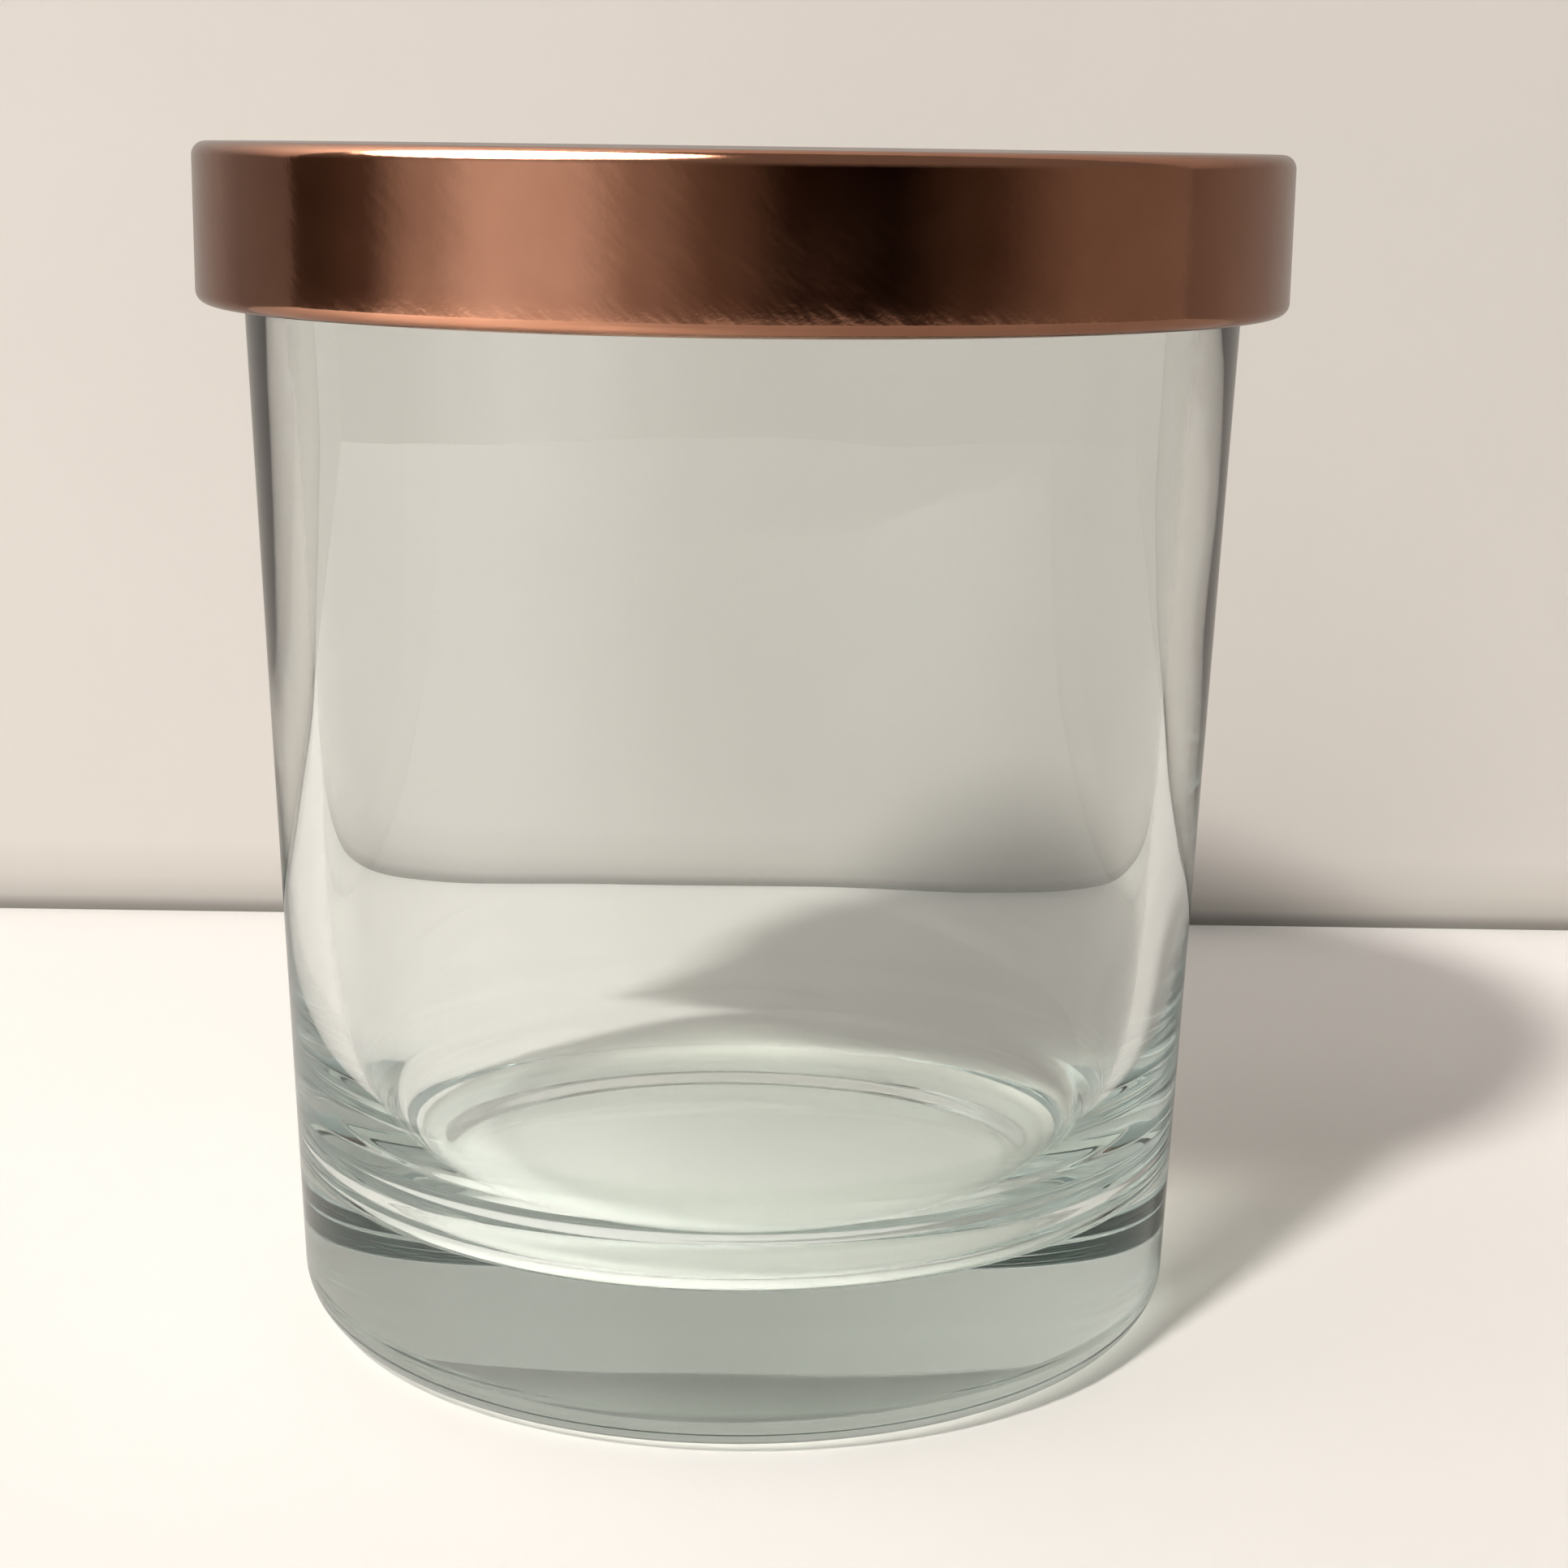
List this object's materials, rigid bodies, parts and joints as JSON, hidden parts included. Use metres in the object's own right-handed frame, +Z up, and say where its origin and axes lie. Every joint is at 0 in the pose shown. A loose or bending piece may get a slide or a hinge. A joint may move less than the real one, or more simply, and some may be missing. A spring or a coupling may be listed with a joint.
{
  "type": "candle jar",
  "caption": "Round clear glass candle jar with slightly tapered wall, heavy base and a lift-off copper-finished metal lid with inner plug and silicone seal.",
  "frame": {"origin": "centre of the foot ring, on the surface that the jar stands on", "axes": "+Z up along the jar's turning axis, +X and +Y any pair of level directions, because the object is round"},
  "size_m": [0.0868, 0.0868, 0.0958],
  "materials": {
    "clear_glass": "polished clear, faint grey-green in thick places",
    "satin_copper_finish": "satin copper coat on stamped steel",
    "plain_steel": "plain satin",
    "clear_silicone": "translucent matte"
  },
  "bodies": {
    "jar": {"glass_jar": "clear_glass"},
    "seal": {"lid_seal_ring": "clear_silicone"},
    "lid": {"lid_shell": "satin_copper_finish", "lid_liner": "plain_steel"}
  },
  "joints": [
    {"name": "lid_lift", "type": "slide", "parent": "jar", "child": "seal", "axis": [0, 0, 1], "range_m": [0, 0.06]},
    {"name": "lid_turn", "type": "hinge", "parent": "seal", "child": "lid", "pos_m": [0, 0, 0.092], "axis": [0, 0, 1], "continuous": true}
  ]
}
